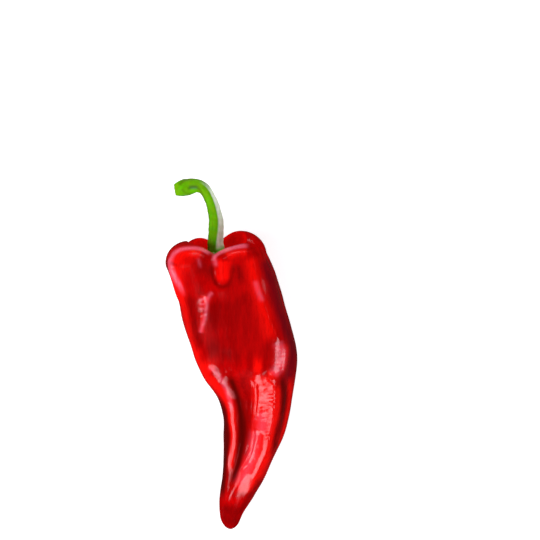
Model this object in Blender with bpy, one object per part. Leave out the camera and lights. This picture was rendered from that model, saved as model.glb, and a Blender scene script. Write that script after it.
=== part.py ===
"""A ripe Espelette pepper as picked: the red fruit, the green calyx in its hollow and the hooked peduncle.

It lies on its side: the tip points to -Y, the stem to +Y, and +Z is up. The origin is under the middle
of the whole, on the surface that it lies on. Lengths here are in millimetres and angles in degrees;
put_in_scene turns them into metres.
"""

import bmesh
import bpy
import numpy as np
from mathutils import Vector

MM = 0.001
GAP = 0.3

# The fruit's centre line from the tip to the shoulder: x and y, the half width of the fruit there as
# seen from above, and how far the cut across it leans to -X.
STATIONS = [
    (-1.5, -74.2, 2.9, -10.0),
    (-0.9, -66.6, 4.7, -13.0),
    (1.4, -58.6, 6.7, -16.0),
    (3.9, -50.7, 8.4, -15.5),
    (5.8, -42.7, 10.0, -14.0),
    (7.8, -34.8, 11.6, -11.5),
    (9.1, -26.9, 12.9, -6.0),
    (9.5, -18.9, 14.2, 0.5),
    (9.3, -10.7, 16.4, 8.0),
    (7.4, -2.8, 19.3, 13.0),
    (5.1, 5.1, 20.4, 16.0),
    (2.8, 13.0, 20.6, 17.0),
    (0.4, 20.8, 20.7, 16.0),
    (-1.5, 28.6, 20.3, 13.5),
    (-3.8, 35.4, 20.2, 10.0),
    (-6.0, 41.0, 20.5, 6.0),
]
TIP_ROUNDING = 5.0

# Along the centre line, as (distance from the tip, value): the depth of the fruit over its width, the
# height of its underside above the surface, and how square its cuts are (2 is an ellipse).
DEPTH_RATIO = [(0, 0.92), (25, 0.97), (50, 1.0), (72, 0.93), (96, 0.94), (119, 0.91)]
UNDERSIDE = [(0, 0.9), (11, -0.3), (30, 0.8), (52, 1.5), (75, 0.6), (94, -0.4), (110, 0.1), (119, 0.9)]
SQUARENESS = [(0, 2.0), (40, 2.05), (70, 2.3), (119, 2.5)]
UNDERSIDE_CHECKS = 31

# The four furrows between the lobes: the angle round the cut (0 is +X, 90 is up) and the depth as a
# share of the radius, both along the centre line, and the half width in degrees.
FURROWS = [
    {
        "angle": [(0, 126), (20, 124), (40, 118), (60, 118), (80, 116), (100, 106), (119, 92)],
        "depth": [(0, 0.03), (18, 0.07), (35, 0.14), (55, 0.16), (72, 0.07), (90, 0.04), (119, 0.13)],
        "width": 13.0,
    },
    {
        "angle": [(0, 215), (60, 208), (100, 202), (119, 206)],
        "depth": [(0, 0.02), (45, 0.05), (85, 0.03), (108, 0.05), (119, 0.13)],
        "width": 14.0,
    },
    {
        "angle": [(0, 295), (60, 285), (85, 274), (119, 272)],
        "depth": [(0, 0.02), (45, 0.06), (85, 0.07), (108, 0.07), (119, 0.13)],
        "width": 18.0,
    },
    {
        "angle": [(0, 384), (40, 382), (60, 392), (80, 388), (100, 372), (119, 364)],
        "depth": [(0, 0.02), (40, 0.05), (60, 0.08), (80, 0.03), (108, 0.05), (119, 0.10)],
        "width": 12.0,
    },
]

# The crown: the lobes roll over at this share of the shoulder's radius, more to +X and less to -X, and
# at this mean height above it, then run down to the flat floor of the stem hollow. The height of the
# rim swings round the crown, as (times round, swing, angle of the highest place), and at each furrow
# it drops by a share of itself, over this many times the furrow's width.
CREST_RADIUS = 0.61
CREST_WIDENING = 0.05
CREST_HEIGHT = 8.5
CREST_SWINGS = [(1, 1.7, 245.0), (2, 0.45, 318.0)]
NOTCH = 0.47
NOTCH_SPREAD = 1.4
FLOOR_HEIGHT = 1.5
FLOOR_RADIUS = 0.36

COLUMNS_PER_LOBE = 11
RING_STEP = 3.2
TIP_RINGS = (0.12, 0.5, 1.1, 2.0, 3.2, 4.8)
ROLL_RINGS = 6
HOLLOW_RINGS = 8

# The calyx: a low five-toothed saucer on the floor of the hollow.
CALYX_RADIUS = 6.2
CALYX_TEETH = 5
TOOTH_LENGTH = 0.9
CALYX_RIM = 0.7
CALYX_TOP = 2.3
CALYX_SIDES = 40

# The peduncle's middle line from the calyx to its snapped end, as x, y, z and the radius there.
PEDUNCLE = [
    (-6.5, 45.8, 18.4, 3.5),
    (-6.6, 49.2, 18.7, 3.05),
    (-6.3, 53.5, 19.5, 3.0),
    (-6.5, 58.5, 20.6, 2.75),
    (-7.5, 63.0, 21.6, 2.45),
    (-9.0, 67.0, 22.5, 2.25),
    (-11.3, 70.2, 23.2, 2.35),
    (-14.5, 71.3, 23.7, 2.8),
    (-17.2, 70.8, 24.0, 3.25),
    (-19.4, 70.4, 24.0, 3.25),
    (-21.0, 70.0, 24.0, 2.8),
    (-22.2, 69.8, 24.0, 2.35),
]
PEDUNCLE_SIDES = 15
PEDUNCLE_STEP = 1.6
PEDUNCLE_RIDGES = 5
RIDGE_HEIGHT = 0.05


def clear_scene():
    for obj in list(bpy.data.objects):
        bpy.data.objects.remove(obj)


def track(points):
    """The natural cubic spline through (place, value) points, level past its ends."""
    place, value = np.array(points, float).T
    step = np.diff(place)
    slope = np.diff(value) / step
    system = np.eye(len(place))
    turns = np.zeros(len(place))
    for i in range(1, len(place) - 1):
        system[i, i - 1 : i + 2] = step[i - 1], 2 * (step[i - 1] + step[i]), step[i]
        turns[i] = 6 * (slope[i] - slope[i - 1])
    bend = np.linalg.solve(system, turns)

    def at(where):
        where = np.clip(where, place[0], place[-1])
        i = np.clip(np.searchsorted(place, where) - 1, 0, len(step) - 1)
        near = where - place[i]
        far = step[i] - near
        curved = (bend[i] * far**3 + bend[i + 1] * near**3) / (6 * step[i])
        straight = (value[i] * far + value[i + 1] * near) / step[i]
        pull = step[i] * (bend[i] * far + bend[i + 1] * near) / 6
        return curved + straight - pull

    return at


def distances(points):
    """How far along a line of points each one is."""
    gaps = np.linalg.norm(np.diff(points, axis=0), axis=1)
    return np.concatenate([[0], np.cumsum(gaps)])


class Fruit:
    """The fruit's form: where its skin is at a distance along the centre line and an angle round it."""

    def __init__(self):
        rows = np.array(STATIONS)
        reach = distances(rows[:, :2])
        self.length = reach[-1]
        tracks = [track(np.column_stack([reach, column])) for column in rows.T]
        self.x, self.y, self.half_width, self.lean = tracks
        self.depth_ratio = track(DEPTH_RATIO)
        self.underside = track(UNDERSIDE)
        self.squareness = track(SQUARENESS)
        self.furrows = [(track(f["angle"]), track(f["depth"]), f["width"]) for f in FURROWS]
        checks = np.linspace(0, self.length, UNDERSIDE_CHECKS)
        self.lowest_part = track([(s, self.reach_below(s)) for s in checks])

    def half_sizes(self, s):
        """Half the width and half the depth of the cut, with the tip rounded off."""
        rounding = np.sqrt(1 - (1 - np.clip(s / TIP_ROUNDING, 0, 1)) ** 2)
        width = self.half_width(s) * rounding
        return width, width * self.depth_ratio(s)

    def furrow_share(self, s, angle, spread=1.0):
        """How deep in each furrow a point is: 1 on the furrow's line, 0 away from it."""
        shares = []
        for where, _, width in self.furrows:
            off = (angle - where(s) + 180) % 360 - 180
            shares.append(np.exp(-(np.abs(off / (width * spread)) ** 1.5)))
        return shares

    def outline(self, s, angle):
        """The radius round one cut, as a share of its half sizes."""
        turn = np.radians(angle)
        power = self.squareness(s)
        radius = (np.abs(np.cos(turn)) ** power + np.abs(np.sin(turn)) ** power) ** (-1 / power)
        for share, (_, depth, _) in zip(self.furrow_share(s, angle), self.furrows):
            radius = radius * (1 - depth(s) * share)
        return radius

    def reach_below(self, s):
        """How far the cut reaches below its middle, as a share of half its depth."""
        angle = np.arange(180.0, 360.0)
        return np.max(-self.outline(s, angle) * np.sin(np.radians(angle)))

    def place(self, s, angle, radius, rise):
        """The point at this share of the half sizes, a rise along the centre line past the cut."""
        width, depth = self.half_sizes(s)
        turn = np.radians(angle)
        lean = np.radians(self.lean(s))
        across = width * radius * np.cos(turn)
        up = depth * radius * np.sin(turn)
        height = depth * self.lowest_part(s) + self.underside(s)
        x = self.x(s) + across * np.cos(lean) - rise * np.sin(lean)
        y = self.y(s) + across * np.sin(lean) + rise * np.cos(lean)
        return np.stack([x, y, height + up], axis=-1)

    def columns(self, s):
        """The angles round the cut, closer together beside the furrows, which they follow."""
        lines = [float(where(s)) for where, _, _ in self.furrows]
        angles = []
        for start, end in zip(lines, lines[1:] + [lines[0] + 360]):
            share = np.arange(COLUMNS_PER_LOBE) / COLUMNS_PER_LOBE
            share = share - 0.08 * np.sin(2 * np.pi * share)
            angles.append(start + share * (end - start))
        return np.concatenate(angles)

    def crest(self, angle):
        """The height of the rolled-over rim, lower at the furrows."""
        height = CREST_HEIGHT
        for times, swing, highest in CREST_SWINGS:
            height = height + swing * np.cos(np.radians(times * (angle - highest)))
        drop = sum(self.furrow_share(self.length, angle, NOTCH_SPREAD))
        return height * (1 - NOTCH * drop)


def fruit_rings(fruit):
    """The skin from the tip to the shoulder, over the crown and down to the floor of the hollow."""
    body = np.arange(TIP_RINGS[-1] + RING_STEP, fruit.length - RING_STEP / 2, RING_STEP)
    rings = []
    for s in [*TIP_RINGS, *body, fruit.length]:
        angle = fruit.columns(s)
        rings.append(fruit.place(s, angle, fruit.outline(s, angle), 0))

    s = fruit.length
    angle = fruit.columns(s)
    outline = fruit.outline(s, angle)
    crest = fruit.crest(angle)
    crest_radius = CREST_RADIUS + CREST_WIDENING * np.cos(np.radians(angle))
    for turn in np.linspace(0, np.pi / 2, ROLL_RINGS + 1)[1:]:
        radius = crest_radius + (1 - crest_radius) * np.cos(turn)
        rings.append(fruit.place(s, angle, outline * radius, crest * np.sin(turn)))
    for share in np.linspace(0, 1, HOLLOW_RINGS + 1)[1:]:
        radius = crest_radius + (FLOOR_RADIUS - crest_radius) * share
        rounded = outline + (1 - outline) * share
        rise = FLOOR_HEIGHT + (crest - FLOOR_HEIGHT) * (1 + np.cos(np.pi * share)) / 2
        rings.append(fruit.place(s, angle, rounded * radius, rise))
    return rings


def skin(rings, start, end):
    """A closed mesh over rings of equal count, with a point at each end, or a flat end where it is None."""
    mesh = bmesh.new()
    rows = [[mesh.verts.new(point) for point in ring] for ring in rings]
    for row, after in zip(rows, rows[1:]):
        for i in range(len(row)):
            mesh.faces.new((row[i - 1], row[i], after[i], after[i - 1]))
    for row, centre, order in ((rows[0], start, -1), (rows[-1], end, 1)):
        if centre is None:
            mesh.faces.new(row[::order])
            continue
        middle = mesh.verts.new(centre)
        for i in range(len(row)):
            mesh.faces.new((row[i - 1], row[i], middle)[::order])
    bmesh.ops.recalc_face_normals(mesh, faces=mesh.faces)
    return mesh


def put_in_scene(name, mesh, material):
    """One object of this mesh, in metres, shaded smooth."""
    bmesh.ops.scale(mesh, vec=(MM, MM, MM), verts=mesh.verts)
    data = bpy.data.meshes.new(name)
    mesh.to_mesh(data)
    mesh.free()
    data.materials.append(material)
    data.shade_smooth()
    obj = bpy.data.objects.new(name, data)
    bpy.context.scene.collection.objects.link(obj)
    return obj


def finish(name, colour, roughness):
    """A plain Principled material."""
    material = bpy.data.materials.new(name)
    material.use_nodes = True
    shader = material.node_tree.nodes["Principled BSDF"]
    shader.inputs["Base Color"].default_value = (*colour, 1.0)
    shader.inputs["Roughness"].default_value = roughness
    shader.inputs["Metallic"].default_value = 0.0
    return material


def build_fruit(fruit):
    rings = fruit_rings(fruit)
    tip = fruit.place(0.0, 0.0, 0.0, 0.0)
    floor = fruit.place(fruit.length, 0.0, 0.0, FLOOR_HEIGHT)
    for ring in rings:
        # Where the skin bears on the surface it is pressed into a small flat spot.
        ring[:, 2] = np.maximum(ring[:, 2], 0)
    put_in_scene("pepper_fruit", skin(rings, tip, floor), finish("ripe_skin", (0.62, 0.01, 0.01), 0.2))


def build_calyx(fruit):
    """A saucer with a toothed rim, thin at the edge and thicker under the peduncle."""
    round_angle = np.arange(CALYX_SIDES) * 360 / CALYX_SIDES
    teeth = np.cos(np.radians(round_angle * CALYX_TEETH))
    edge = CALYX_RADIUS + TOOTH_LENGTH * np.maximum(teeth, -0.3)
    width, depth = fruit.half_sizes(fruit.length)
    base = FLOOR_HEIGHT + GAP
    profile = [
        (0.45, 0.0),
        (0.90, 0.0),
        (1.00, 0.35 * CALYX_RIM),
        (0.97, CALYX_RIM),
        (0.80, CALYX_RIM + 0.35),
        (0.62, 0.75 * CALYX_TOP),
        (0.50, CALYX_TOP),
    ]
    rings = []
    for share, rise in profile:
        across = edge * share * np.cos(np.radians(round_angle))
        up = edge * share * np.sin(np.radians(round_angle))
        angle = np.degrees(np.arctan2(up / depth, across / width))
        radius = np.hypot(across / width, up / depth)
        rings.append(fruit.place(fruit.length, angle, radius, base + rise))
    mesh = skin(rings, None, None)
    put_in_scene("calyx", mesh, finish("calyx_green", (0.13, 0.26, 0.03), 0.5))


def build_peduncle():
    """A faintly five-ridged stalk along a smooth line, hooked to the left and snapped off square."""
    rows = np.array(PEDUNCLE)
    reach = distances(rows[:, :3])
    tracks = [track(np.column_stack([reach, column])) for column in rows.T]
    count = round(reach[-1] / PEDUNCLE_STEP)
    centres = [Vector([at(s) for at in tracks[:3]]) for s in np.linspace(0, reach[-1], count + 1)]
    radii = [tracks[3](s) for s in np.linspace(0, reach[-1], count + 1)]
    side = Vector((1, 0, 0))
    heading = Vector((0, 1, 0))
    rings = []
    for i, centre in enumerate(centres):
        ahead = centres[min(i + 1, count)] - centres[max(i - 1, 0)]
        side = heading.rotation_difference(ahead) @ side
        heading = ahead.normalized()
        side = (side - heading * side.dot(heading)).normalized()
        other = heading.cross(side)
        ring = []
        for turn in np.arange(PEDUNCLE_SIDES) * 2 * np.pi / PEDUNCLE_SIDES:
            radius = radii[i] * (1 + RIDGE_HEIGHT * np.cos(PEDUNCLE_RIDGES * turn))
            ring.append(centre + (side * np.cos(turn) + other * np.sin(turn)) * radius)
        rings.append(ring)
    mesh = skin(rings, None, None)
    put_in_scene("peduncle", mesh, finish("stalk_green", (0.22, 0.42, 0.02), 0.45))


clear_scene()
pepper = Fruit()
build_fruit(pepper)
build_calyx(pepper)
build_peduncle()
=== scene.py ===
import math

import bmesh
import bpy
import numpy as np
from mathutils import Matrix, Vector


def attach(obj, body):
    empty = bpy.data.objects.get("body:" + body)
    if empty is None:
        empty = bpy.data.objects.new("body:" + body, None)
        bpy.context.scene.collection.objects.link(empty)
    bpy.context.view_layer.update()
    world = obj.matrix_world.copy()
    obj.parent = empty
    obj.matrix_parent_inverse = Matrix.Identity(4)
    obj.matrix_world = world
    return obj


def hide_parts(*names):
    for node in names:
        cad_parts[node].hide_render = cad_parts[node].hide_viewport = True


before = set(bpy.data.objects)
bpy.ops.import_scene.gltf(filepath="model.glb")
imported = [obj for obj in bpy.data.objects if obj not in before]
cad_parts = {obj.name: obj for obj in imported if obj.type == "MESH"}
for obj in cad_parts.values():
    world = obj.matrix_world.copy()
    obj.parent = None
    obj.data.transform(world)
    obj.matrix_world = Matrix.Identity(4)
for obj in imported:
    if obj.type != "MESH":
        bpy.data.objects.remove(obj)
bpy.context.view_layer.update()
mm = 0.001
print("frame loaded")


# camera, straight above but a little from the stem side, with a long lens
shot = {
    "aim": (15.3, 36.9, 20.0),      # mm, what the middle of the picture looks at
    "towardsStem": 8.0,             # degrees off straight down
    "lens": 150.0,
    "sensor": 36.0,
    "acrossAtAim": 216.0,           # mm that the picture shows across
    "pixels": 540,                  # the photograph's frame, for places read off it
    "clip": (0.05, 20.0),           # m
}


def shotAxes():
    tilt = math.radians(shot["towardsStem"])
    right = np.array([1.0, 0.0, 0.0])
    up = np.array([0.0, math.cos(tilt), -math.sin(tilt)])
    back = np.array([0.0, math.sin(tilt), math.cos(tilt)])
    distance = shot["acrossAtAim"] * shot["lens"] / shot["sensor"]
    return right, up, back, np.array(shot["aim"]) + back * distance


def makeCamera():
    lens = bpy.data.cameras.new("camera")
    lens.lens = shot["lens"]
    lens.sensor_width = shot["sensor"]
    lens.clip_start, lens.clip_end = shot["clip"]
    camera = bpy.data.objects.new("camera", lens)
    bpy.context.scene.collection.objects.link(camera)
    right, up, back, place = shotAxes()
    turn = Matrix((right, up, back)).transposed().to_4x4()
    camera.matrix_world = Matrix.Translation(Vector(place * mm)) @ turn
    bpy.context.scene.camera = camera


def inPicture(points):              # where points in mm fall in the photograph's frame, in pixels
    right, up, back, place = shotAxes()
    seen = points - place
    away = -(seen @ back)
    focal = shot["pixels"] * shot["lens"] / shot["sensor"]
    middle = shot["pixels"] / 2
    across, down = focal * (seen @ right) / away, -focal * (seen @ up) / away
    return np.stack([middle + across, middle + down], -1)


def pixelSize():                    # mm
    return shot["acrossAtAim"] / shot["pixels"]


# lines through a few chosen values
def track(points):                  # natural cubic spline, level past its ends
    place, value = np.array(points, float).T
    step = np.diff(place)
    slope = np.diff(value) / step
    system = np.eye(len(place))
    turns = np.zeros(len(place))
    for i in range(1, len(place) - 1):
        system[i, i - 1:i + 2] = step[i - 1], 2 * (step[i - 1] + step[i]), step[i]
        turns[i] = 6 * (slope[i] - slope[i - 1])
    bend = np.linalg.solve(system, turns)

    def at(where):
        where = np.clip(where, place[0], place[-1])
        i = np.clip(np.searchsorted(place, where) - 1, 0, len(step) - 1)
        near = where - place[i]
        far = step[i] - near
        curved = (bend[i] * far ** 3 + bend[i + 1] * near ** 3) / (6 * step[i])
        straight = (value[i] * far + value[i + 1] * near) / step[i]
        return curved + straight - step[i] * (bend[i] * far + bend[i + 1] * near) / 6

    return at


def distances(points):
    gaps = np.linalg.norm(np.diff(points, axis=0), axis=1)
    return np.concatenate([[0], np.cumsum(gaps)])


def tracksThrough(rows, measured):  # one track per column, along the line of the first columns
    rows = np.array(rows, float)
    reach = distances(rows[:, :measured])
    return [track(np.column_stack([reach, column])) for column in rows.T], reach[-1]


def easeIn(value, low, high):       # 0 below low, 1 above high, smooth between
    share = np.clip((value - low) / (high - low), 0, 1)
    return share * share * (3 - 2 * share)


# the fruit's form, the same as its solid's, in mm and degrees
fruit = {
    # x, y, half width and lean of the cut, from the tip to the shoulder
    "stations": [
        (-1.5, -74.2, 2.9, -10.0),
        (-0.9, -66.6, 4.7, -13.0),
        (1.4, -58.6, 6.7, -16.0),
        (3.9, -50.7, 8.4, -15.5),
        (5.8, -42.7, 10.0, -14.0),
        (7.8, -34.8, 11.6, -11.5),
        (9.1, -26.9, 12.9, -6.0),
        (9.5, -18.9, 14.2, 0.5),
        (9.3, -10.7, 16.4, 8.0),
        (7.4, -2.8, 19.3, 13.0),
        (5.1, 5.1, 20.4, 16.0),
        (2.8, 13.0, 20.6, 17.0),
        (0.4, 20.8, 20.7, 16.0),
        (-1.5, 28.6, 20.3, 13.5),
        (-3.8, 35.4, 20.2, 10.0),
        (-6.0, 41.0, 20.5, 6.0),
    ],
    "tipRounding": 5.0,
    "tipStart": 0.06,               # the first ring's place on the tip's curve, in radians
    "depthRatio": [(0, 0.92), (25, 0.97), (50, 1.0), (72, 0.93), (96, 0.94), (119, 0.91)],
    "underside": [(0, 0.9), (11, -0.3), (30, 0.8), (52, 1.5), (75, 0.6), (94, -0.4), (110, 0.1),
                  (119, 0.9)],
    "squareness": [(0, 2.0), (40, 2.05), (70, 2.3), (119, 2.5)],
    "undersideChecks": 31,
    # the furrows between the lobes: angle and depth along the fruit, and half width in degrees
    "furrows": [
        ([(0, 126), (20, 124), (40, 118), (60, 118), (80, 116), (100, 106), (119, 92)],
         [(0, 0.03), (18, 0.07), (35, 0.14), (55, 0.16), (72, 0.07), (90, 0.04), (119, 0.13)],
         13.0),
        ([(0, 215), (60, 208), (100, 202), (119, 206)],
         [(0, 0.02), (45, 0.05), (85, 0.03), (108, 0.05), (119, 0.13)], 14.0),
        ([(0, 295), (60, 285), (85, 274), (119, 272)],
         [(0, 0.02), (45, 0.06), (85, 0.07), (108, 0.07), (119, 0.13)], 18.0),
        ([(0, 384), (40, 382), (60, 392), (80, 388), (100, 372), (119, 364)],
         [(0, 0.02), (40, 0.05), (60, 0.08), (80, 0.03), (108, 0.05), (119, 0.10)], 12.0),
    ],
    "furrowEdge": 1.5,              # 2 is a bell, and less is a sharper furrow
    "crestRadius": 0.61,
    "crestWidening": 0.05,
    "crestHeight": 8.5,
    "crestSwings": [(1, 1.7, 245.0), (2, 0.45, 318.0)],
    "notch": 0.47,
    "notchSpread": 1.4,
    "floorHeight": 1.5,
    "floorRadius": 0.36,
    "columnsPerLobe": 56,
    "columnCrowding": 0.05,         # how far the columns lean to the furrows, in lobes
    "tipRows": 16,
    "rowStep": 0.36,
    "rollRows": 30,
    "hollowRows": 34,
}


def furrowShares(s, angle, spread=1.0):
    shares = []
    for where, _, width in form["furrows"]:
        off = (angle - where(s) + 180) % 360 - 180
        shares.append(np.exp(-(np.abs(off / (width * spread)) ** fruit["furrowEdge"])))
    return shares


def outlineOf(s, angle):
    turn = np.radians(angle)
    power = form["squareness"](s)
    radius = (np.abs(np.cos(turn)) ** power + np.abs(np.sin(turn)) ** power) ** (-1 / power)
    for share, (_, depth, _) in zip(furrowShares(s, angle), form["furrows"]):
        radius = radius * (1 - depth(s) * share)
    return radius


def fruitPlace(s, angle, radius, rise):
    rounding = np.sqrt(1 - (1 - np.clip(s / fruit["tipRounding"], 0, 1)) ** 2)
    width = form["halfWidth"](s) * rounding
    depth = width * form["depthRatio"](s)
    turn = np.radians(angle)
    lean = np.radians(form["lean"](s))
    across = width * radius * np.cos(turn)
    height = depth * form["lowestPart"](s) + form["underside"](s)
    x = form["x"](s) + across * np.cos(lean) - rise * np.sin(lean)
    y = form["y"](s) + across * np.sin(lean) + rise * np.cos(lean)
    return np.stack([x, y, height + depth * radius * np.sin(turn)], -1)


def lowestOf(s):
    angle = np.arange(180.0, 360.0)
    return np.max(-outlineOf(s, angle) * np.sin(np.radians(angle)))


def readForm():
    tracks, length = tracksThrough(fruit["stations"], 2)
    made = dict(zip(("x", "y", "halfWidth", "lean"), tracks), length=length)
    for name in ("depthRatio", "underside", "squareness"):
        made[name] = track(fruit[name])
    made["furrows"] = [(track(where), track(depth), width)
                       for where, depth, width in fruit["furrows"]]
    return made


form = readForm()
checked = np.linspace(0, form["length"], fruit["undersideChecks"])
form["lowestPart"] = track([(s, lowestOf(s)) for s in checked])


def crestOf(angle):
    height = fruit["crestHeight"]
    for times, swing, highest in fruit["crestSwings"]:
        height = height + swing * np.cos(np.radians(times * (angle - highest)))
    shares = furrowShares(form["length"], angle, fruit["notchSpread"])
    return height * (1 - fruit["notch"] * sum(shares))


def columnAngles(s):                # the columns run along the furrows, a little closer beside them
    lines = [float(where(s)) for where, _, _ in form["furrows"]]
    share = np.arange(fruit["columnsPerLobe"]) / fruit["columnsPerLobe"]
    share = share - fruit["columnCrowding"] * np.sin(2 * np.pi * share)
    ends = lines[1:] + [lines[0] + 360]
    return np.concatenate([start + share * (end - start) for start, end in zip(lines, ends)])


def fruitGrid():                    # points, mm along, degrees round and how far into the hollow
    length = form["length"]
    turns = np.linspace(fruit["tipStart"], np.pi / 2, fruit["tipRows"])
    tip = fruit["tipRounding"] * (1 - np.cos(turns))
    body = np.linspace(tip[-1], length, round((length - tip[-1]) / fruit["rowStep"]))[1:]
    points, along, turned, sunk = [], [], [], []
    for s in [*tip, *body]:
        angle = columnAngles(s)
        points.append(fruitPlace(s, angle, outlineOf(s, angle), 0))
        along.append(np.full_like(angle, s))
        turned.append(angle)
        sunk.append(np.zeros_like(angle))
    angle = columnAngles(length)
    outline = outlineOf(length, angle)
    crest = crestOf(angle)
    widening = fruit["crestWidening"] * np.cos(np.radians(angle))
    crestRadius = fruit["crestRadius"] + widening
    for turn in np.linspace(0, np.pi / 2, fruit["rollRows"] + 1)[1:]:
        radius = crestRadius + (1 - crestRadius) * np.cos(turn)
        points.append(fruitPlace(length, angle, outline * radius, crest * np.sin(turn)))
        along.append(length + crest * np.sin(turn))
        turned.append(angle)
        sunk.append(np.zeros_like(angle))
    for share in np.linspace(0, 1, fruit["hollowRows"] + 1)[1:]:
        radius = crestRadius + (fruit["floorRadius"] - crestRadius) * share
        rounded = outline + (1 - outline) * share
        fallen = (1 + np.cos(np.pi * share)) / 2
        rise = fruit["floorHeight"] + (crest - fruit["floorHeight"]) * fallen
        points.append(fruitPlace(length, angle, rounded * radius, rise))
        along.append(length + rise)
        turned.append(angle)
        sunk.append(np.full_like(angle, share))
    return [np.array(rows) for rows in (points, along, turned, sunk)]


def gridNormals(points):
    down = np.gradient(points, axis=0)
    sideways = np.roll(points, -1, axis=1) - np.roll(points, 1, axis=1)
    normals = np.cross(down, sideways)
    return normals / np.maximum(np.linalg.norm(normals, axis=-1, keepdims=True), 1e-12)


# strokes: lines in the photograph's frame that raise, sink or tint the skin along them
brush = {
    "steps": 90,                    # points that a line is drawn with
    "reach": 3.5,                   # half widths beyond which a stroke is left out
    "fade": (3, 3),                 # mm
    "edge": 2.0,                    # 2 is a bell, and more is a flat stroke with a sharper edge
}


def smoothLine(path):
    path = np.array(path, float)
    reach = distances(path)
    where = np.linspace(0, reach[-1], brush["steps"])
    return np.column_stack([track(np.column_stack([reach, column]))(where) for column in path.T])


def strokeShare(picture, path, width, fade, edge=brush["edge"]):
    middle = smoothLine(path)
    pixel = pixelSize()
    reach = distances(middle) * pixel
    margin = brush["reach"] * width / pixel
    above, below = middle.min(0) - margin, middle.max(0) + margin
    near = np.all((picture > above) & (picture < below), axis=-1)
    spots = picture[near]
    best = np.full(len(spots), np.inf)
    place = np.zeros(len(spots))
    for i in range(len(middle) - 1):
        leg = middle[i + 1] - middle[i]
        part = np.clip(((spots - middle[i]) @ leg) / (leg @ leg), 0, 1)
        gap = np.linalg.norm(spots - middle[i] - part[:, None] * leg, axis=1)
        closer = gap < best
        best[closer] = gap[closer]
        place[closer] = (reach[i] + part * (reach[i + 1] - reach[i]))[closer]
    inner = np.exp(-((best * pixel / width) ** edge))
    for gone, length in ((place, fade[0]), (reach[-1] - place, fade[1])):
        if length:                  # without one that end stays round
            inner = inner * easeIn(gone, 0, length)
    share = np.zeros(picture.shape[:-1])
    share[near] = inner
    return share


# relief of the skin that the furrows don't give: path in pixels, half width and height in mm,
# the lengths in mm that its two ends fade over, and its edge where that isn't a bell
relief = {
    "tongue": ([(223, 252), (222.5, 262), (222, 274)], 2.6, 0.8, (4, 0)),
    "tongueGroove": ([(212, 262), (213, 275), (217, 283), (223, 286.5), (229, 282), (232, 274),
                      (232.5, 262)], 1.2, -0.35, (4, 4)),
    "tongueDent": ([(238, 262), (240, 272), (243, 287)], 2.4, -0.5, (3, 4)),
    "leftRim": ([(170.5, 255.1), (171.9, 268.6), (176.7, 287.2), (177.9, 307.6)], 0.9, 1.1, (3, 4)),
    "rightShoulder": ([(252.9, 248.8), (257.6, 283.1), (268.1, 317.3), (282.5, 347.6)],
                      0.9, 0.36, (6, 8)),
    "waistCrease": ([(183.7, 370.2), (200.1, 359.6), (210.6, 373.3)], 4.46, 0.43, (4, 4)),
    "frontBulge": ([(255.1, 371.9), (253.5, 373.4), (263.8, 373.1)], 7, 0.41, (3, 3)),
    "leftRidgeOuter": ([(206.9, 390.4), (220.3, 398.4), (221.4, 422), (226.3, 438.2), (227.5, 456),
                        (221.8, 483.2)], 0.9, 0.28, (5, 9)),
    "leftRidgeStep": ([(220.9, 383.6), (222.1, 385.6), (226.5, 394.9)], 1.59, 0.63, (0, 0)),
    "valley": ([(232.7, 366.8), (238.7, 377.3), (247.2, 403.2), (251.2, 421.8), (247.8, 438),
                (243.1, 467.3), (236.6, 484.1)], 5.32, -0.67, (7, 9)),
    "rightRidgeStep": ([(251.4, 394.4), (280.2, 407.4)], 7, 0.74, (0, 0)),
    "rightRidgeDip": ([(254.3, 447.7), (258.6, 436.7)], 1.57, -0.54, (0, 0)),
    "rightRidgeEdge": ([(277.2, 376.7), (272.2, 400.7), (271.1, 423.5), (265.5, 448.9),
                        (257.8, 467.5), (248.6, 497.4)], 1.52, 0.47, (4, 8)),
    "leftRidgeEdge": ([(253.4, 376.4), (255.5, 399.7), (253.2, 424.7), (251.3, 448.4),
                       (236.3, 475.1)], 0.91, 0.86, (4, 8)),
    "rightBand": ([(277.2, 376.3), (285.1, 388.5), (282.9, 408.7), (273.5, 427.5), (270.4, 450.1)],
                  6.19, -0.39, (4, 8)),
    "rightNotch": ([(265.9, 370.8), (276.9, 381.1), (293.9, 372.3)], 1.46, -0.21, (2, 2)),
    "rightRim": ([(286.6, 342.1), (287.2, 352.8), (280.8, 376)], 1.3, 0.69, (3, 3)),
    "patchRidge": ([(218, 283.4), (212.5, 307.5), (208.3, 317.9)], 4.1, 0.27, (2, 6)),
    "patchGroove": ([(198.1, 292.9), (199.1, 314.1), (198.9, 330.3)], 2.44, -0.37, (3, 4), 3.0),
    "patchCalm": ([(203.4, 291.8), (219.6, 315), (226.7, 350.4)], 3.5, 0.31, (4, 4), 2.4),
}

# fine ripples across the ridges, where the highlights break into short bars:
# path in pixels, half width, height and wavelength in mm
ripples = {
    "leftPatch": ([(203, 292), (202, 312), (199, 334)], 2.2, 0.022, 2.2),
    "leftShelf": ([(206, 366), (216, 376)], 2.2, 0.05, 2.0),
    "rightRidge": ([(263, 380), (265, 400), (262, 425)], 4.5, 0.035, 1.9),
    "rightRidgeLow": ([(262, 425), (256, 450), (248, 475)], 4.0, 0.015, 1.8),
    "rightPatch": ([(281, 342), (282, 356), (277, 368)], 2.4, 0.04, 1.8),
}

rippleForm = {
    "edge": 4.0,
    "wander": [(0.3, 0.31, 0.0), (0.5, 0.10, 0.17)],    # waves, radians a pixel right and down
}

# how the form is sculpted: the shares of a normal that point up where strokes begin and are full,
# then mm from the tip and shares of the way into the hollow where the unevenness fades
sculpting = {
    "facing": (0.05, 0.45),
    "quietTip": 12,
    "quietHollow": (0.1, 0.8),
}

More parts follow.
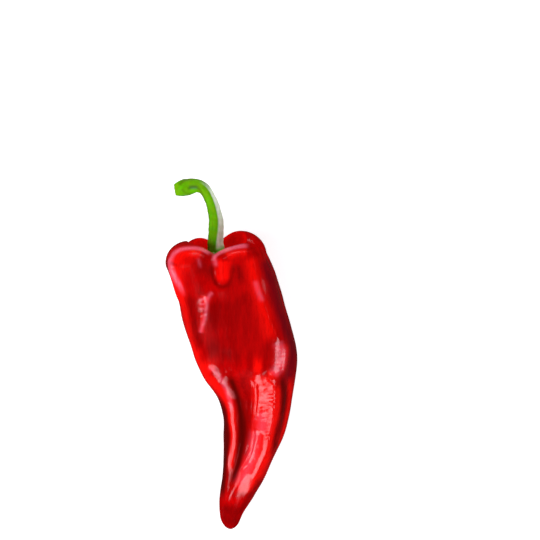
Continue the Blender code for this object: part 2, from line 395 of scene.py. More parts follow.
# a grown skin is never quite even: swing in mm, waves along, waves round and a start in turns
unevenness = [
    (0.16, 2.3, 2, 0.10),
    (0.12, 4.1, -3, 0.45),
    (0.10, 5.7, 5, 0.80),
    (0.05, 8.3, -6, 0.25),
    (0.02, 12.1, 9, 0.60),
]


def sculpt(points, along, turned, sunk):
    normals = gridNormals(points)
    picture = inPicture(points)
    upward = normals[..., 2]
    facing = easeIn(upward, *sculpting["facing"]) * (sunk == 0)
    height = np.zeros(along.shape)
    for path, width, rise, *ends in relief.values():
        height += rise * strokeShare(picture, path, width, *ends)
    height *= facing
    right, down = picture[..., 0], picture[..., 1]
    wander = sum(swing * np.sin(right * perRight + down * perDown)
                 for swing, perRight, perDown in rippleForm["wander"])
    for path, width, rise, every in ripples.values():
        share = strokeShare(picture, path, width, brush["fade"], rippleForm["edge"])
        phase = down * pixelSize() / every + wander
        height += rise * share * facing * np.sin(2 * np.pi * phase)
    share = along / form["length"]
    calm = easeIn(sunk, *sculpting["quietHollow"])
    quiet = easeIn(along, 0, sculpting["quietTip"]) * (1 - calm)
    for swing, lengthwise, around, start in unevenness:
        phase = lengthwise * share + around * turned / 360 + start
        height += swing * quiet * np.sin(2 * np.pi * phase)
    moved = points + normals * height[..., None]
    moved[..., 2] = np.maximum(moved[..., 2], 0)
    return moved, picture, upward


def tubeFaces(rows, columns):       # the two points after the rows close its ends with fans
    first = np.arange(rows - 1)[:, None] * columns
    here = np.arange(columns)[None, :]
    after = (here + 1) % columns
    corners = (first + here, first + after, first + columns + after, first + columns + here)
    faces = np.stack(corners, -1).reshape(-1, 4).tolist()
    last = (rows - 1) * columns
    for i in range(columns):
        after = (i + 1) % columns
        faces.append([after, i, rows * columns])
        faces.append([last + i, last + after, rows * columns + 1])
    return faces


# rings of points with the two points that close them, and masks for its material
def meshPiece(name, rings, ends, material, replaced, masks=()):
    points = np.vstack([rings.reshape(-1, 3), *ends])
    data = bpy.data.meshes.new(name)
    data.from_pydata((points * mm).tolist(), [], tubeFaces(*rings.shape[:2]))
    shape = bmesh.new()
    shape.from_mesh(data)
    bmesh.ops.recalc_face_normals(shape, faces=shape.faces)
    shape.to_mesh(data)
    shape.free()
    for label, values in masks:
        layer = data.attributes.new(label, "FLOAT", "POINT")
        layer.data.foreach_set("value", np.asarray(values, np.float32))
    data.update()
    data.shade_smooth()
    data.materials.append(material)
    piece = bpy.data.objects.new(name, data)
    bpy.context.scene.collection.objects.link(piece)
    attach(piece, "root")
    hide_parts(replaced)
    print(name, "made,", len(points), "points")


def strokeMask(picture, lines, facing):     # how strong a tint is where several strokes may lie
    clear = np.ones(picture.shape[:-1])
    for path, width, strength, *ends in lines:
        clear *= 1 - strength * strokeShare(picture, path, width, *ends) * facing
    return 1 - clear


# painted shade, light and highlights on the skin, and where it is dull or finely wrinkled:
# path in pixels, half width in mm, how strong, the lengths in mm that its two ends fade over, and
# its edge where that isn't a bell
tints = {
    # darker red where shade falls: painted shade
    "deep": [
        ([(214, 296), (213, 318), (215, 338)], 4.0, 0.85, (5, 7)),
        ([(226, 288), (232, 325), (240, 358)], 9.0, 0.5, (8, 8)),
        ([(189, 290), (192, 312), (196, 334), (204, 352)], 2.2, 0.9, (5, 4)),
        ([(202, 345), (220, 352), (246, 357)], 4.2, 0.85, (3, 4)),
        ([(190, 262), (196, 285)], 3.0, 0.2, (4, 5)),
        ([(201, 256), (205, 280)], 3.4, 0.6, (2, 4)),
        ([(238, 374), (246, 395), (247, 420), (245, 445), (240, 468)], 2.4, 0.8, (5, 8)),
        ([(212, 392), (220.5, 402), (224.5, 420), (226, 435), (225.5, 450), (224.5, 466),
          (222.5, 482), (221.5, 502)], 1.6, 0.95, (4, 6), 3.0),
        ([(283, 374), (284, 385), (283, 400), (281, 418), (277.5, 435), (273, 450), (268, 462)],
         1.3, 1.0, (3, 8), 3.0),
        ([(237, 260), (240, 272), (243, 286)], 2.2, 0.75, (3, 4)),
        ([(229, 499), (230, 527)], 4.6, 1.0, (4, 0), 3.0),
        ([(264, 476), (256, 487), (248, 499), (239, 512)], 1.4, 0.9, (4, 0)),
    ],
    # near black in the valleys and grooves: painted shade
    "crease": [
        ([(216, 398), (222, 408), (225, 422), (226.5, 438), (226, 452), (224.5, 468), (222.5, 484),
          (221.5, 500)], 1.3, 0.85, (4, 6), 3.0),
        ([(283, 378), (283.5, 390), (282.5, 405), (280, 422)], 0.9, 0.6, (3, 5)),
        ([(226, 370), (234, 388), (240, 408), (241.5, 430), (240, 450), (236, 470), (229, 494)],
         1.6, 1.0, (6, 8)),
        ([(212, 262), (213, 275), (217, 284), (223, 287), (229, 283), (232.5, 274), (233, 262)],
         0.9, 0.5, (3, 3)),
    ],
    # lighter orange red on the ridges, rims, tongue and left edge, where light falls: painted light
    "bright": [
        ([(174, 264), (180, 256), (188, 253), (197, 253), (203, 256)], 2.6, 0.9, (1, 2)),
        ([(226, 257), (237, 253), (248, 252)], 1.8, 0.8, (1, 1)),
        ([(206, 295), (204, 304), (203, 313)], 2.0, 0.9, (1, 2)),
        ([(203, 310), (200.5, 334)], 1.3, 0.9, (2, 1)),
        ([(290.5, 374), (290, 395), (286.5, 415), (281.5, 435), (275.5, 452)], 1.1, 0.7, (3, 5)),
        ([(281, 342), (282, 356), (277, 370)], 2.6, 0.9, (2, 2)),
        ([(266, 374), (280, 372)], 1.6, 0.8, (1, 1)),
        ([(223.5, 258), (223, 266), (223, 275)], 2.9, 0.75, (2, 0), 3.0),
        ([(174, 262), (180, 290), (186, 320), (194, 350), (203, 372), (214, 387)],
         2.0, 1.0, (3, 3)),
        ([(184, 258), (188, 278)], 3.6, 0.5, (3, 5)),
        ([(249, 254), (256, 285), (264, 315), (272, 345)], 3.0, 0.9, (4, 6)),
        ([(251, 367), (264, 367)], 3.4, 0.95, (2, 2)),
        ([(200, 362), (212, 374)], 4.0, 0.8, (2, 2)),
        ([(263, 372), (265, 400), (262, 425), (256, 450), (248, 475), (238, 497)],
         5.0, 0.95, (3, 6), 4.0),
        ([(278, 384), (276, 410), (273, 430), (269.5, 446), (265, 462), (255, 479), (244, 492)],
         1.7, 0.9, (3, 4)),
        ([(207, 376), (219, 388), (228, 402), (231.5, 425), (231.5, 450), (228.5, 475)],
         1.8, 0.95, (3, 5), 3.0),
    ],
    # dark purple down the right side: a painted shadow
    "maroon": [
        ([(291, 328), (293, 350), (291, 370), (286, 386)], 2.2, 0.8, (6, 5)),
        ([(264, 256), (274, 290), (283, 320), (291, 342)], 2.4, 0.7, (4, 4)),
    ],
    # light pink bands on the rims and bars and patches on the ridges: painted highlights
    "pale": [
        ([(184.5, 298), (181.5, 288), (177.5, 279), (173.5, 270), (171.5, 262), (173.5, 254.5),
          (179, 250), (190, 248), (201, 249.5), (211, 254.5)], 0.75, 0.75, (6, 2), 3.0),
        ([(173.5, 254.5), (179, 250), (190, 248), (201, 249.5), (208, 253)], 0.35, 0.7, (2, 2)),
        ([(213.5, 262), (215, 256), (221, 251.5), (230, 248), (240, 246), (250, 246)],
         0.85, 0.85, (2, 3), 3.0),
        ([(224, 250), (232, 247.5), (242, 246)], 0.4, 0.7, (2, 2)),
        ([(214, 258), (216.5, 268)], 0.9, 0.4, (1, 2)),
        ([(198, 256), (201, 270)], 0.6, 0.3, (2, 3)),
        ([(255, 279), (258, 290), (262.5, 303)], 0.9, 0.4, (2, 2)),
        ([(277.5, 341), (281, 354), (279, 366), (272, 376)], 1.9, 0.42, (1, 2), 3.0),
        ([(208, 366), (215, 371), (221.5, 379), (226.5, 389), (230, 401), (231.5, 414)],
         0.7, 0.42, (2, 3)),
        ([(257, 414), (263, 422), (260, 432)], 2.2, 0.34, (1, 1)),
        ([(213, 291.5), (208, 298), (206.5, 308), (204.5, 318), (201.5, 328), (200, 334)],
         0.7, 0.45, (1, 1)),
        ([(197, 300), (202, 299.5), (208, 297)], 0.4, 0.5, (1, 1)),
        ([(198, 305), (206, 303.5)], 0.35, 0.5, (1, 1)),
        ([(198, 309.5), (205, 308.5)], 0.35, 0.45, (1, 1)),
        ([(256, 428), (253, 450), (246, 472), (236, 488)], 2.0, 0.3, (3, 5)),
    ],
    "dull": [
        ([(178, 257), (190, 255), (202, 257), (211, 261)], 1.5, 0.97, (2, 0), 3.0),
        ([(215, 261), (228, 256), (240, 253), (252, 252)], 1.5, 0.97, (0, 2), 3.0),
        ([(226, 370), (234, 388), (240, 408), (242, 430), (241, 450), (237, 470), (230, 494)],
         2.2, 1.0, (6, 8)),
        ([(184, 256), (187, 272), (191, 288), (192.5, 302), (194, 322)], 2.2, 0.97, (1, 1), 4.0),
        ([(198, 278), (206, 284), (213, 288)], 1.8, 0.9, (0, 0)),
        ([(196, 338), (203, 349), (210, 356)], 3.4, 0.95, (1, 1)),
        ([(249.5, 392), (247, 420), (243, 446), (236, 472), (230, 490)], 1.5, 0.95, (2, 2), 4.0),
        ([(251, 252), (258, 280), (264, 302), (270, 320), (277, 339)], 2.6, 0.97, (1, 1), 4.0),
        ([(236, 397), (238.5, 410), (239, 430), (237.5, 446)], 1.3, 1.0, (1, 2), 4.0),
        ([(245, 390), (248, 404), (247, 418)], 1.8, 0.95, (1, 1)),
        ([(223, 365), (231, 372)], 2.0, 1.0, (0, 0)),
        ([(243, 500), (236, 514)], 2.6, 1.0, (0, 0), 3.0),
        ([(216, 296), (220, 322), (226, 352)], 4.6, 0.97, (2, 2), 3.0),
        ([(244, 241), (258, 246)], 2.6, 1.0, (0, 0)),
        ([(218, 350), (230, 362), (246, 370)], 3.6, 0.95, (2, 2)),
        ([(240, 364), (256, 364), (270, 367)], 3.0, 0.95, (2, 2)),
        ([(226, 497), (230, 527)], 6.0, 1.0, (2, 0), 4.0),
        ([(221, 260), (222, 284)], 3.6, 0.95, (1, 0), 4.0),
        ([(234, 264), (244, 264)], 1.8, 0.8, (1, 1)),
    ],
    "wrinkled": [
        ([(203, 290), (202, 312), (199, 336)], 2.2, 0.5, (2, 2)),
        ([(206, 366), (217, 378)], 2.4, 1.0, (2, 2)),
        ([(263, 377), (265, 400), (262, 425), (256, 450)], 4.5, 1.0, (2, 8)),
        ([(281, 342), (282, 356), (277, 370)], 3.0, 0.9, (2, 2)),
    ],
}


tinting = {
    "facing": (-0.05, 0.15),        # as in sculpting
    "furrowSpread": 0.8,
    "furrowShade": 0.4,             # how much of the deep tint a furrow gets at the back
    # the hollow's tint is painted light that lifts its shade
    "hollow": 0.15,                 # share of the way into the hollow where its own tint is full
    "hollowDull": 0.04,
}


def tintMasks(picture, upward, along, turned, sunk):
    facing = easeIn(upward, *tinting["facing"]) * (sunk == 0)
    masks = {label: strokeMask(picture, lines, facing) for label, lines in tints.items()}
    # painted shade: furrows where the skin turns away from above get part of the deep tint
    shares = furrowShares(np.minimum(along, form["length"]), turned, tinting["furrowSpread"])
    furrowed = tinting["furrowShade"] * np.clip(sum(shares), 0, 1) * (1 - facing)
    masks["deep"] = np.clip(masks["deep"] + furrowed, 0, 1)
    # painted light: the inside of the stem hollow is a lighter red, lifting its shade
    masks["hollow"] = easeIn(sunk, 0.0, tinting["hollow"])
    masks["dull"] = np.maximum(masks["dull"], easeIn(sunk, 0.0, tinting["hollowDull"]))
    return masks


def makeFruit(material):
    points, along, turned, sunk = fruitGrid()
    moved, picture, upward = sculpt(points, along, turned, sunk)
    masks = tintMasks(picture, upward, along, turned, sunk)
    masks = [(label, np.append(mask, [mask[0, 0], mask[-1, -1]])) for label, mask in masks.items()]
    ends = [fruitPlace(0.0, 0.0, 0.0, 0.0), moved[-1].mean(0)]
    meshPiece("pepperSkin", moved, ends, material, "pepper_fruit", masks)


# the calyx in the stem hollow
calyx = {
    "radius": 6.2,
    "teeth": 5,
    "toothLength": 0.9,
    "toothGap": -0.35,              # where the teeth's wave is cut off between two of them
    "toothDroop": 0.35,
    "toothRoot": 0.75,              # share of the radius
    "wobble": [(0.18, 2, 0.7), (0.12, 3, 2.1)],     # swing in mm, times round and start in radians
    # share of the radius and height in mm, from the underside over the edge up to the neck
    "profile": [
        (0.3, 0.0), (0.6, 0.0), (0.85, 0.0), (0.96, 0.06), (1.0, 0.3), (0.985, 0.6), (0.95, 0.75),
        (0.88, 0.77), (0.78, 0.87), (0.68, 1.1), (0.58, 1.5), (0.5, 2.05), (0.44, 2.7), (0.4, 3.2),
        (0.2, 3.2),
    ],
    "gap": 0.3,                     # over the floor of the hollow
    "sides": 120,
    "ribs": 10,
    "ribHeight": 0.12,
    "ribsStart": 0.5,               # mm up
}


def makeCalyx(material):
    turn = np.arange(calyx["sides"]) * 2 * np.pi / calyx["sides"]
    tooth = np.maximum(np.cos(turn * calyx["teeth"]), calyx["toothGap"])
    wobble = sum(swing * np.sin(times * turn + start) for swing, times, start in calyx["wobble"])
    edge = calyx["radius"] + calyx["toothLength"] * tooth + wobble
    rib = np.cos(turn * calyx["ribs"]) * calyx["ribHeight"]
    base = fruit["floorHeight"] + calyx["gap"]
    length = form["length"]
    width = form["halfWidth"](length)
    depth = width * form["depthRatio"](length)
    rings = []
    for share, rise in calyx["profile"]:
        beyond = max(share - calyx["toothRoot"], 0) / (1 - calyx["toothRoot"])
        droop = calyx["toothDroop"] * tooth * beyond * (rise > 0)
        across, up = edge * share * np.cos(turn) / width, edge * share * np.sin(turn) / depth
        height = base + rise + rib * (rise > calyx["ribsStart"]) + droop
        where = np.degrees(np.arctan2(up, across))
        rings.append(fruitPlace(length, where, np.hypot(across, up), height))
    rings = np.array(rings)
    ends = [rings[0].mean(0), rings[-1].mean(0)]
    meshPiece("calyxCup", rings, ends, material, "calyx")


# the stalk, its middle line in mm with the radius there, from the calyx to the snapped end
stalk = {
    "line": [
        (-6.3, 43.6, 18.4, 3.6),
        (-6.5, 45.8, 18.4, 3.35),
        (-6.6, 49.2, 18.7, 3.05),
        (-6.3, 53.5, 19.5, 3.0),
        (-6.5, 58.5, 20.6, 2.75),
        (-7.5, 63.0, 21.6, 2.45),
        (-9.0, 67.0, 22.5, 2.25),
        (-11.3, 70.2, 23.2, 2.35),
        (-14.5, 71.3, 23.7, 2.8),
        (-17.2, 70.8, 24.0, 3.25),
        (-19.4, 70.4, 24.0, 3.25),
        (-21.0, 70.0, 24.0, 2.8),
        (-22.2, 69.8, 24.0, 2.35),
    ],
    "sides": 90,
    "rowStep": 0.28,
    "twist": 0.25,                  # radians from end to end
    # heights are shares of the radius
    "ridges": 5,
    "ridgeHeight": 0.055,
    "grooves": 23,
    "grooveHeight": 0.008,
    "grooveDrift": (1.3, 0.31),     # swing in radians, and radians a mm
    # height, radians a mm, how far they wind round it, and start
    "lumps": [(0.02, 0.9, 2, math.pi / 2), (0.015, 2.3, 3, 0.5)],
    "scarRows": 10,
    "scarLip": 0.28,                # mm
    "scarLipWidth": 1 / 2.2,        # share of the way in
    "scarCup": 0.35,                # share of the way in where the scar starts to sink
    "scarDepth": 0.5,
    "scarRagged": (0.4, 7, 9),      # swing in mm, times round and radians from edge to middle
    "scarTint": 0.3,                # how far the break's tint has come at its edge
    # the stripe of painted highlight down one side: its place and drift round the stalk in radians,
    # the cosines from its middle where it starts and is full at the foot and how they change, and
    # mm where it comes and goes
    "stripe": (0.75, -0.7),
    "stripeEdges": [(0.62, 0.22), (0.80, 0.16)],
    "stripeStarts": (1, 4),
    "stripeEnds": (24, 31),
    # painted shade, on the side away from the stripe
    "shade": (0.62, 1.0),           # cosines from the side away from it
    "shadeDrift": (0.2, 9),         # swing in radians, and radians from end to end
    "facing": (0.0, 0.3),           # as in tinting
    # painted shade (dark) and painted light (bright) on the side that the picture shows, in strokes
    # as on the skin, and bluish green on the hook
    "tints": {
        # painted shade along the hook's edges and underside and down the stalk's left side
        "dark": [
            ([(179, 186), (183, 181), (190, 178.5), (200, 178.5), (206, 183.5), (210, 188)],
             0.75, 0.9, (1, 1)),
            ([(187, 190), (192, 186.5), (198, 188), (201, 192), (204, 201), (207, 212), (209, 228)],
             0.55, 0.7, (1, 5)),
            ([(181, 188), (186, 193), (193, 194.5)], 0.5, 0.5, (1, 1)),
        ],
        # painted light on the hook and along the stalk
        "bright": [
            ([(188, 191.5), (193, 191), (198, 190)], 0.9, 0.9, (1, 1)),
            ([(182, 184), (180, 189)], 0.7, 0.6, (0, 0)),
            ([(207, 196), (209, 212), (211, 232)], 0.8, 0.5, (2, 2)),
        ],
        "bluish": [
            ([(191, 187.5), (196, 187.5)], 0.6, 0.75, (0, 0)),
            ([(183, 196.5), (190, 195.5)], 0.6, 0.5, (0, 0)),
        ],
    },
}


def stalkFrames(centres):
    side, heading = Vector((1, 0, 0)), Vector((0, 1, 0))
    sides, others = [], []
    for i in range(len(centres)):
        ahead = Vector(centres[min(i + 1, len(centres) - 1)] - centres[max(i - 1, 0)])
        side = heading.rotation_difference(ahead) @ side
        heading = ahead.normalized()
        side = (side - heading * side.dot(heading)).normalized()
        sides.append(side.copy())
        others.append(heading.cross(side))
    return np.array(sides), np.array(others)


def swollen(here, turn):            # the stalk's radius as a share, with its ridges and lumps
    twist = stalk["twist"] * here / here[-1]
    swing, perMm = stalk["grooveDrift"]
    drift = swing * np.sin(here * perMm)
    swell = 1 + stalk["ridgeHeight"] * np.cos(stalk["ridges"] * (turn + twist))
    swell += stalk["grooveHeight"] * np.cos(stalk["grooves"] * turn + drift)
    for height, perMm, winding, start in stalk["lumps"]:
        swell += height * np.sin(here * perMm + winding * np.sin(turn + start))
    return swell


def scarRings(rim, centre, heading, turn):      # the snapped end, from its rim to its middle
    swing, times, inwards = stalk["scarRagged"]
    rings = []
    for share in np.linspace(0, 1, stalk["scarRows"] + 1)[1:-1]:
        lip = stalk["scarLip"] * math.sin(math.pi * min(share / stalk["scarLipWidth"], 1))
        cup = stalk["scarDepth"] * max(share - stalk["scarCup"], 0)
        ragged = swing * np.sin(times * turn + inwards * share) * share * (1 - share)
        level = (lip - cup + ragged)[:, None] * heading
        rings.append(centre + (rim - centre) * (1 - share) + level)
    return np.array(rings)


def stalkMasks(points, upward, whole, broken, turn):
    climb = (whole / whole[-1])[:, None]
    place, drift = stalk["stripe"]
    low, high = [start + change * climb for start, change in stalk["stripeEdges"]]
    # the painted highlight down one side of the stalk
    stripe = easeIn(np.cos(turn + place + drift * climb), low, high)
    stripe = stripe * (1 - easeIn(whole, *stalk["stripeEnds"]))[:, None]
    stripe = stripe * easeIn(whole, *stalk["stripeStarts"])[:, None] * (1 - broken[:, None])
    swing, around = stalk["shadeDrift"]
    shade = easeIn(-np.cos(turn + swing * np.sin(around * climb)), *stalk["shade"])
    masks = [
        ("pale", stripe, (0, 0)),
        ("shade", shade, (0, 0)),
        ("climb", np.repeat(climb, len(turn)), (0, 1)),
        ("broken", np.repeat(broken, len(turn)), (0, 1)),
    ]
    facing = easeIn(upward, *stalk["facing"])
    for label, lines in stalk["tints"].items():
        masks.append((label, strokeMask(inPicture(points), lines, facing), (0, 0)))
    return [(label, np.append(values, ends)) for label, values, ends in masks]


def makeStalk(material):
    (x, y, z, radius), reach = tracksThrough(stalk["line"], 3)
    along = np.linspace(0, reach, round(reach / stalk["rowStep"]))
    centres = np.column_stack([x(along), y(along), z(along)])
    sides, others = stalkFrames(centres)
    turn = np.arange(stalk["sides"]) * 2 * np.pi / stalk["sides"]
    here = along[:, None]
    ring = np.cos(turn)[:, None] * sides[:, None, :] + np.sin(turn)[:, None] * others[:, None, :]
    points = centres[:, None, :] + ring * (radius(here) * swollen(here, turn))[..., None]
    heading = centres[-1] - centres[-2]
    heading = heading / np.linalg.norm(heading)
    scar = scarRings(points[-1], centres[-1], heading, turn)
    points = np.vstack([points, scar])
    upward = np.vstack([ring[..., 2], np.repeat(ring[-1:, :, 2], len(scar), axis=0)])
    whole = np.concatenate([along, np.full(len(scar), reach)])
    broken = np.concatenate([np.zeros(len(along)), np.linspace(stalk["scarTint"], 1, len(scar))])
    masks = stalkMasks(points, upward, whole, broken, turn)
    ends = [centres[0], centres[-1] - heading * stalk["scarDepth"] * (1 - stalk["scarCup"])]
    meshPiece("stalkHook", points, ends, material, "peduncle", masks)


# shader maths: a Wire is one output socket, and sums on it add Math nodes
class Wire:
    def __init__(self, bench, socket):
        self.bench = bench
        self.socket = socket

    def maths(self, operation, first, second):
        return self.bench.add("ShaderNodeMath", {"operation": operation}, [first, second])

    def __add__(self, other):
        return self.maths("ADD", self, other)

    def __radd__(self, other):
        return self.maths("ADD", other, self)

    def __sub__(self, other):
        return self.maths("SUBTRACT", self, other)

    def __rsub__(self, other):
        return self.maths("SUBTRACT", other, self)

    def __mul__(self, other):
        return self.maths("MULTIPLY", self, other)

    def __rmul__(self, other):
        return self.maths("MULTIPLY", other, self)


class Bench:                        # a material's node tree, and the one way nodes are added to it
    def __init__(self, name):
        self.material = bpy.data.materials.new(name)
        self.material.use_nodes = True
        self.tree = self.material.node_tree
        self.shader = self.tree.nodes["Principled BSDF"]

    def add(self, kind, settings=None, values=None, output=0):
        node = self.tree.nodes.new(kind)
        for name, value in (settings or {}).items():
            setattr(node, name, value)
        pairs = values.items() if isinstance(values, dict) else enumerate(values or [])
        for key, value in pairs:
            self.feed(node.inputs[key], value)
        return Wire(self, node.outputs[output])

    def feed(self, socket, value):
        if isinstance(value, Wire):
            self.tree.links.new(value.socket, socket)
        elif socket.type == "RGBA" and len(value) == 3:
            socket.default_value = (*value, 1.0)
        else:
            socket.default_value = value

    def mask(self, name):
        return self.add("ShaderNodeAttribute", {"attribute_name": name}, output="Fac")

    def place(self):                # object coordinates, in metres
        return self.add("ShaderNodeTexCoord", output="Object")

    def noise(self, scale, detail=3.0, roughness=0.55):     # a scale of three is one for each axis
        place = self.place()
        if isinstance(scale, tuple):
            place, scale = self.add("ShaderNodeMapping", {}, {"Vector": place, "Scale": scale}), 1.0
        values = {"Vector": place, "Scale": scale, "Detail": detail, "Roughness": roughness}
        return self.add("ShaderNodeTexNoise", {}, values, "Fac")

    def between(self, value, low, high):    # 0 at low, 1 at high
        settings = {"interpolation_type": "SMOOTHSTEP", "clamp": True}
        values = {"Value": value, "From Min": low, "From Max": high}
        return self.add("ShaderNodeMapRange", settings, values)

    def mix(self, share, first, second):
        settings = {"data_type": "RGBA", "clamp_factor": True}
        return self.add("ShaderNodeMix", settings, {0: share, 6: first, 7: second}, 2)

    def bump(self, height, distance, strength):
        values = {"Height": height, "Distance": distance, "Strength": strength}
        return self.add("ShaderNodeBump", {}, values, "Normal")

    def finish(self, **values):     # Base_Color=..., with an underscore for each space
        for name, value in values.items():
            self.feed(self.shader.inputs[name.replace("_", " ")], value)
        return self.material


# colours are linear
skinLook = {
    "red": (0.56, 0.0008, 0.0012),
    # deep also gives the random mottling; deep and the near black paint shade, bright and hollow
    # paint light, the dark purple paints a shadow and the pink paints highlights
    "deep": (0.200, 0.0006, 0.0010),
    "bright": (0.93, 0.0040, 0.0020),
    "crease": (0.085, 0.0010, 0.0006),
    "maroon": (0.050, 0.0010, 0.0080),
    "hollow": (0.95, 0.0030, 0.0020),
    "pale": (0.97, 0.165, 0.25),
    "roughness": 0.40,
    "coatRoughness": 0.13,
    "coatIor": 1.5,
    "ior": 1.46,
    # how much of each tint shows, in the order that they are laid, and how far the threads
    # and the streaks swing that
    "shares": {
        "deep": (0.9, 0.9, 0.7),
        "crease": (1.0, 0.0, 0.0),
        "maroon": (0.8, 0.0, 0.4),
        "hollow": (0.5, 0.0, 1.2),
        "pale": (0.7, 1.2, 0.0),
    },
    "uneven": (0.45, 0.35, 0.35),   # parts of the broad, streaky and threaded patterns
    "unevenRange": (0.35, 0.65),
    "unevenDeep": 0.62,             # share of the deep red where all three are strong
    "wornRange": (0.45, 0.7),       # of the threads, where the skin is a little worn
    "wornBright": 0.35,             # bright tint that is lost there, and gloss
    "wornGloss": 0.3,
    "gloss": 0.92,
    "barRange": (0.44, 0.60),       # of the hatch, where a wrinkle shows as a dull bar
    "barGloss": 0.6,
    "roughSwings": (0.10, 0.08),    # by the fine and the broad pattern
    "bumpParts": (0.25, 0.12),      # grain and streaks, against a whole wrinkle
    # noise sizes, per metre, with one for each axis where the pattern is stretched
    "broad": 70.0,
    "streaks": (420.0, 75.0, 420.0),
    "threads": (1100.0, 190.0, 1100.0),
    "fine": 900.0,
    "grain": 700.0,
    "hatch": (120.0, 620.0, 120.0),
    "bump": (0.00012, 0.6),         # metres and strength
}


def ripeSkin():
    bench = Bench("ripeSkin")
    broad = bench.noise(skinLook["broad"])
    streaky = bench.noise(skinLook["streaks"])
    thin = bench.noise(skinLook["threads"], roughness=0.65)
    fine = bench.noise(skinLook["fine"], roughness=0.6)
    uneven = sum(part * bench.between(pattern, *skinLook["unevenRange"])
                 for part, pattern in zip(skinLook["uneven"], (broad, streaky, thin)))
    worn = bench.between(thin, *skinLook["wornRange"])
    # painted light on the ridges and rims, thinned where the threads run
    bright = bench.mask("bright") * (1.0 - skinLook["wornBright"] * worn)
    colour = bench.mix(uneven * skinLook["unevenDeep"], skinLook["red"], skinLook["deep"])
    colour = bench.mix(bright, colour, skinLook["bright"])
    # painted shade, a painted shadow, painted light in the hollow and painted highlights, laid in
    # turn
    for name, (share, byThreads, byStreaks) in skinLook["shares"].items():
        share = share + byThreads * (thin - 0.5) + byStreaks * (streaky - 0.5)
        colour = bench.mix(bench.mask(name) * share, colour, skinLook[name])
    hatch = bench.noise(skinLook["hatch"], 2.0)
    wrinkled = bench.mask("wrinkled")
    bars = wrinkled * bench.between(hatch, *skinLook["barRange"])
    grainPart, streakPart = skinLook["bumpParts"]
    grain = grainPart * bench.noise(skinLook["grain"], 2.0)
    height = grain + streakPart * streaky + wrinkled * hatch
    gloss = (1 - bench.mask("dull")) * (skinLook["gloss"] - skinLook["wornGloss"] * worn)
    gloss = gloss * (1 - skinLook["barGloss"] * bars)
    byFine, byBroad = skinLook["roughSwings"]
    return bench.finish(
        Base_Color=colour,
        Roughness=skinLook["roughness"] + byFine * (fine - 0.5) + byBroad * (broad - 0.5),
        IOR=skinLook["ior"],
        Specular_IOR_Level=0.0,
        Coat_Weight=gloss,
        Coat_Roughness=skinLook["coatRoughness"],
        Coat_IOR=skinLook["coatIor"],
        Normal=bench.bump(height, *skinLook["bump"]),
    )


stalkLook = {
    "green": (0.110, 0.380, 0.0012),
    "yellow": (0.190, 0.440, 0.0020),
    # low: the stalk's greener foot and veins, made lighter to lift the shade of the stem hollow, so
    # partly painted light
    "low": (0.090, 0.520, 0.0010),
    # dark paints shade, bright paints light and the whitish green paints the highlight down one
    # side
    "dark": (0.075, 0.150, 0.0020),
    "bright": (0.120, 0.560, 0.0020),
    "bluish": (0.060, 0.230, 0.1000),
    "pale": (0.840, 0.980, 0.760),
    "scar": (0.330, 0.340, 0.120),
    "scarCore": (0.160, 0.110, 0.040),
    "roughness": 0.42,
    "specular": 0.04,
    "fine": 1100.0,
    "broad": 160.0,
    "streaks": (1500.0, 220.0, 1500.0),
    "foot": (0.02, 0.34),           # shares of the way up where the low green gives way
    "patches": (0.4, 0.65, 0.7),    # yellow: where in the broad pattern, and how much
    "veins": (0.45, 0.7, 0.5),      # low green: where in the streaks, and how much
    "shadeShare": 0.8,
    "strokeShare": (0.9, 0.9),      # how much, and how far the broad pattern swings it
    "stripeShare": (0.88, 0.8, 0.4),    # how much, and swings by the streaks and the fine pattern
    "scarRange": (0.1, 0.35),
    "coreRange": (0.6, 0.9),
    "coreSwing": 0.3,
    "roughSwing": 0.25,
    "bumpBroad": 0.5,               # against the fine pattern
    "bump": (0.00006, 0.6),
}


def stalkGreen():
    bench = Bench("stalkGreen")
    fine = bench.noise(stalkLook["fine"])
    broad = bench.noise(stalkLook["broad"])
    streaky = bench.noise(stalkLook["streaks"], roughness=0.6)
    above = bench.between(bench.mask("climb"), *stalkLook["foot"])
    broken = bench.mask("broken")
    *patched, patchShare = stalkLook["patches"]
    *veined, veinShare = stalkLook["veins"]
    full, byBroad = stalkLook["strokeShare"]
    stroke = full + byBroad * (broad - 0.5)
    full, byStreaks, byFine = stalkLook["stripeShare"]
    stripe = full + byStreaks * (streaky - 0.5) + byFine * (fine - 0.5)
    core = broken + stalkLook["coreSwing"] * (fine - 0.5)
    layers = [                      # in the order that they are laid
        ("yellow", bench.between(broad, *patched) * patchShare),
        ("low", bench.between(streaky, *veined) * veinShare),
        # the shade layer and the dark strokes are painted shade, bright is painted light, the
        # stripe a painted highlight
        ("dark", bench.mask("shade") * stalkLook["shadeShare"]),
        ("bright", bench.mask("bright") * stroke),
        ("bluish", bench.mask("bluish") * stroke),
        ("dark", bench.mask("dark") * stroke),
        ("pale", bench.mask("pale") * stripe),
        ("scar", bench.between(broken, *stalkLook["scarRange"])),
        ("scarCore", bench.between(core, *stalkLook["coreRange"])),
    ]
    colour = bench.mix(above, stalkLook["low"], stalkLook["green"])
    for name, share in layers:
        colour = bench.mix(share, colour, stalkLook[name])
    return bench.finish(
        Base_Color=colour,
        Roughness=stalkLook["roughness"] + stalkLook["roughSwing"] * (fine - 0.5),
        Specular_IOR_Level=stalkLook["specular"],
        Normal=bench.bump(fine + broad * stalkLook["bumpBroad"], *stalkLook["bump"]),
    )


calyxLook = {
    "green": (0.100, 0.250, 0.010),
    "edge": (0.210, 0.300, 0.030),
    "edgeRange": (0.4, 0.6),        # where in the broad pattern
    "roughness": 0.45,
    "roughSwing": 0.2,
    "fine": 900.0,
    "broad": 220.0,
    "bump": (0.00006, 0.6),
}


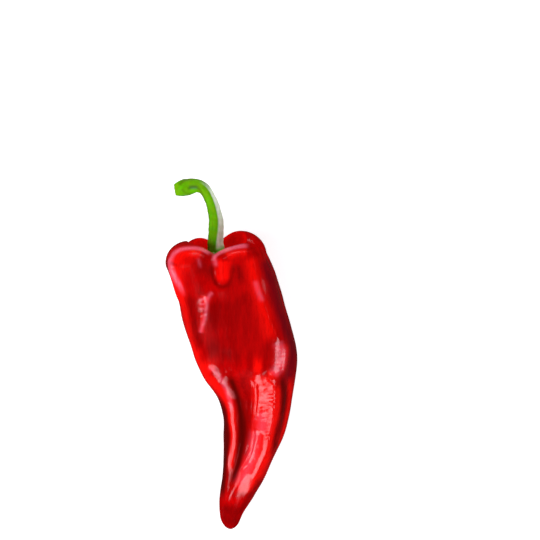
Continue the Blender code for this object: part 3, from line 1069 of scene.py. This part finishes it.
def calyxGreen():
    bench = Bench("calyxGreen")
    fine = bench.noise(calyxLook["fine"])
    broad = bench.noise(calyxLook["broad"], 2.0)
    patches = bench.between(broad, *calyxLook["edgeRange"])
    colour = bench.mix(patches, calyxLook["green"], calyxLook["edge"])
    return bench.finish(
        Base_Color=colour,
        Roughness=calyxLook["roughness"] + calyxLook["roughSwing"] * (fine - 0.5),
        Normal=bench.bump(fine, *calyxLook["bump"]),
    )


# the surface that it lies on, and the light
studio = {
    "floorSize": 4.0,
    "floorBelow": 0.0002,
    "floorColour": (0.60, 0.62, 0.60),
    "floorRoughness": 0.9,
    "floorIor": 1.2,
    "floorGlow": 0.72,              # a lit table, so that the shadows stay faint
    "sky": 0.02,
    "aim": (0.002, 0.0, 0.015),     # m, where the lamps point
    "lampColour": (1.0, 0.92, 1.0),
    "matteFill": ("fill",),         # these give light but no highlight
    "nearAxis": 0.5,                # a lamp closer to the Y axis is turned by the X axis instead
    # name, degrees off straight up and round from +X, metres away, width, length, brightness
    "boxes": [
        ("leftStrip", 48.9, 178.0, 0.85, 0.29, 0.33, 6.0),
        ("leftFront", 68.3, 230.3, 0.85, 0.43, 0.23, 4.4),
        ("tipBox", 62.7, 284.1, 0.85, 0.54, 0.55, 5.2),
        ("rightStrip", 69.9, 355.2, 0.85, 0.23, 1.09, 5.2),
        ("stemBox", 82.0, 90.0, 0.85, 0.70, 0.26, 10.0),
        ("fill", 48.0, 195.0, 1.20, 1.00, 1.00, 4.0),
    ],
}


def makeFloor():
    half = studio["floorSize"] / 2
    corners = [(-half, -half, 0), (half, -half, 0), (half, half, 0), (-half, half, 0)]
    data = bpy.data.meshes.new("floor")
    data.from_pydata(corners, [], [(0, 1, 2, 3)])
    floor = bpy.data.objects.new("floor", data)
    floor.location.z = -studio["floorBelow"]
    bpy.context.scene.collection.objects.link(floor)
    bench = Bench("paleFloor")
    data.materials.append(bench.finish(
        Base_Color=studio["floorColour"],
        Roughness=studio["floorRoughness"],
        IOR=studio["floorIor"],
        Emission_Color=(1.0, 1.0, 1.0),
        Emission_Strength=studio["floorGlow"],
    ))
    floor.visible_glossy = False    # the skin mirrors the boxes and the dim sky only
    floor.visible_diffuse = False


def makeLights():
    world = bpy.data.worlds.new("sky")
    world.use_nodes = True
    background = world.node_tree.nodes["Background"]
    background.inputs["Color"].default_value = (1, 1, 1, 1)
    background.inputs["Strength"].default_value = studio["sky"]
    bpy.context.scene.world = world
    aim = Vector(studio["aim"])
    for name, off, compass, away, width, length, bright in studio["boxes"]:
        tilt, side = math.radians(off), math.radians(compass)
        flat = math.sin(tilt)
        direction = Vector((flat * math.cos(side), flat * math.sin(side), math.cos(tilt)))
        lamp = bpy.data.lights.new(name, "AREA")
        lamp.shape = "RECTANGLE"
        lamp.size = width
        lamp.size_y = length
        lamp.energy = bright * math.pi * width * length
        lamp.color = studio["lampColour"]
        holder = bpy.data.objects.new(name, lamp)
        holder.visible_camera = False
        holder.visible_glossy = name not in studio["matteFill"]
        across = Vector((0, 1, 0)).cross(direction)
        if across.length < studio["nearAxis"]:
            across = Vector((1, 0, 0))
        across.normalize()
        turn = Matrix((across, direction.cross(across), direction)).transposed().to_4x4()
        holder.matrix_world = Matrix.Translation(aim + direction * away) @ turn
        bpy.context.scene.collection.objects.link(holder)


makeCamera()
makeFruit(ripeSkin())
makeCalyx(calyxGreen())
makeStalk(stalkGreen())
makeFloor()
makeLights()
bpy.context.scene.view_settings.view_transform = "Standard"
print("studio ready")
